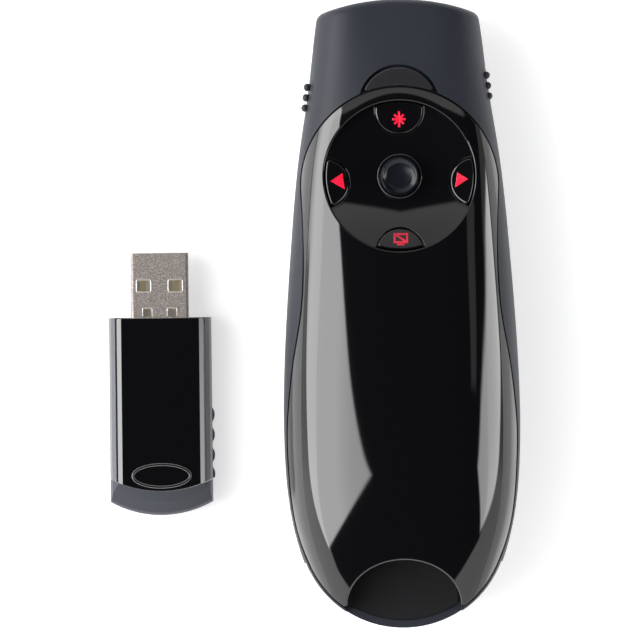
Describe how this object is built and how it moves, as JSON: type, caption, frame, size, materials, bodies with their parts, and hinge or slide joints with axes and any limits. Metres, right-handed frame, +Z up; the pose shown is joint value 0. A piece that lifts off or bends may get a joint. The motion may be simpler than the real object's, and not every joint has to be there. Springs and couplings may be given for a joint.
{
  "type": "wireless presentation clicker",
  "caption": "Bean shaped handheld presenter with a gloss top panel, dished thumbstick and lens shaped keys, laser nose, battery door, and a USB receiver lying beside it.",
  "frame": {"origin": "centre of the handset's footprint, on the plane that its four feet rest on", "axes": "+Y towards the laser nose, +X to the right of the handset seen from above, +Z up out of the key face"},
  "size_m": [0.0852, 0.1303, 0.03],
  "materials": {
    "soft_grey": "soft touch blue grey paint, matte",
    "piano_black": "high gloss black moulding",
    "door_black": "fine spark texture, black",
    "smoke_window": "smoked translucent brown black, polished",
    "grip_rubber": "matte black rubber",
    "screw_steel": "zinc plated steel",
    "bay_black": "matte black moulding",
    "red_guide": "translucent red light guide",
    "switch_body": "black nylon",
    "plunger_white": "natural acetal",
    "board_green": "green solder mask",
    "can_steel": "tinned steel",
    "lamp_clear": "clear epoxy lamp",
    "ceramic_tan": "ceramic chip bodies",
    "brass_barrel": "turned brass",
    "laser_glass": "polished lens",
    "nose_dark": "dark red black filter",
    "cell_wrap": "printed film sleeve left plain",
    "plug_nickel": "satin nickel plate",
    "plug_tongue": "dark plastic tongue",
    "contact_gold": "gold plate",
    "receiver_grey": "soft touch blue grey"
  },
  "bodies": {
    "handset": {"back_switch": "switch_body", "battery_1": "cell_wrap", "battery_2": "cell_wrap", "battery_plates": "can_steel", "battery_springs": "can_steel", "bay_switch": "bay_black", "blank_switch": "switch_body", "board_passives": "ceramic_tan", "controller_chip": "switch_body", "crystal": "can_steel", "foot_pads": "grip_rubber", "forward_switch": "switch_body", "gloss_panel": "piano_black", "housing_screws": "screw_steel", "indicator_light": "lamp_clear", "indicator_window": "smoke_window", "key_lights": "lamp_clear", "laser_barrel": "brass_barrel", "laser_board": "board_green", "laser_lens": "laser_glass", "laser_switch": "switch_body", "left_side_grip": "grip_rubber", "lower_housing": "soft_grey", "main_board": "board_green", "nose_window": "nose_dark", "radio_can": "can_steel", "receiver_bay": "bay_black", "right_side_grip": "grip_rubber", "stick_case": "can_steel", "upper_housing": "soft_grey"},
    "laser_key": {"laser_key": "piano_black", "laser_light_guide": "red_guide", "laser_plunger": "plunger_white"},
    "back_key": {"back_key": "piano_black", "back_light_guide": "red_guide", "back_plunger": "plunger_white"},
    "forward_key": {"forward_key": "piano_black", "forward_light_guide": "red_guide", "forward_plunger": "plunger_white"},
    "blank_key": {"blank_key": "piano_black", "blank_light_guide": "red_guide", "blank_plunger": "plunger_white"},
    "stick_yoke": {"stick_yoke": "switch_body"},
    "stick_cross": {"stick_cross": "switch_body"},
    "stick": {"stick_cap": "grip_rubber", "stick_shaft": "plunger_white"},
    "battery_door": {"battery_door": "door_black"},
    "bay_plunger": {"bay_plunger": "screw_steel"},
    "receiver": {"receiver_base": "receiver_grey", "receiver_board": "board_green", "receiver_cap": "receiver_grey", "receiver_chip": "switch_body", "receiver_contacts": "contact_gold", "receiver_cover": "piano_black", "receiver_crystal": "can_steel", "receiver_insert": "plug_tongue", "receiver_plug": "plug_nickel"}
  },
  "joints": [
    {"name": "laser_key_press", "type": "slide", "parent": "handset", "child": "laser_key", "axis": [0, 0, -1], "range_m": [0, 0.0005], "stiffness_N_per_m": 1200, "springref_m": -0.0003},
    {"name": "back_key_press", "type": "slide", "parent": "handset", "child": "back_key", "axis": [0, 0, -1], "range_m": [0, 0.0005], "stiffness_N_per_m": 1200, "springref_m": -0.0003},
    {"name": "forward_key_press", "type": "slide", "parent": "handset", "child": "forward_key", "axis": [0, 0, -1], "range_m": [0, 0.0005], "stiffness_N_per_m": 1200, "springref_m": -0.0003},
    {"name": "blank_key_press", "type": "slide", "parent": "handset", "child": "blank_key", "axis": [0, 0, -1], "range_m": [0, 0.0005], "stiffness_N_per_m": 1200, "springref_m": -0.0003},
    {"name": "stick_tilt_forward", "type": "hinge", "parent": "handset", "child": "stick_yoke", "pos_m": [0, 0.0284, 0.0186], "axis": [1, 0, 0], "range_deg": [-6, 6], "stiffness_Nm_per_rad": 0.03},
    {"name": "stick_tilt_side", "type": "hinge", "parent": "stick_yoke", "child": "stick_cross", "pos_m": [0, 0.0284, 0.0186], "axis": [0, 1, 0], "range_deg": [-6, 6], "stiffness_Nm_per_rad": 0.03},
    {"name": "stick_press", "type": "slide", "parent": "stick_cross", "child": "stick", "axis": [0, 0, -1], "range_m": [0, 0.0004], "stiffness_N_per_m": 1800, "springref_m": -0.0003},
    {"name": "battery_door_hinge", "type": "hinge", "parent": "handset", "child": "battery_door", "pos_m": [0, 0.011, 0.0029], "axis": [1, 0, 0], "range_deg": [0, 65]},
    {"name": "bay_switch_press", "type": "slide", "parent": "handset", "child": "bay_plunger", "axis": [0, 1, 0], "range_m": [0, 0.0015], "stiffness_N_per_m": 300, "springref_m": -0.0005},
    {"name": "receiver_lift", "type": "slide", "parent": "handset", "child": "receiver", "axis": [0, 0, 1], "range_m": [0, 0.05]}
  ]
}
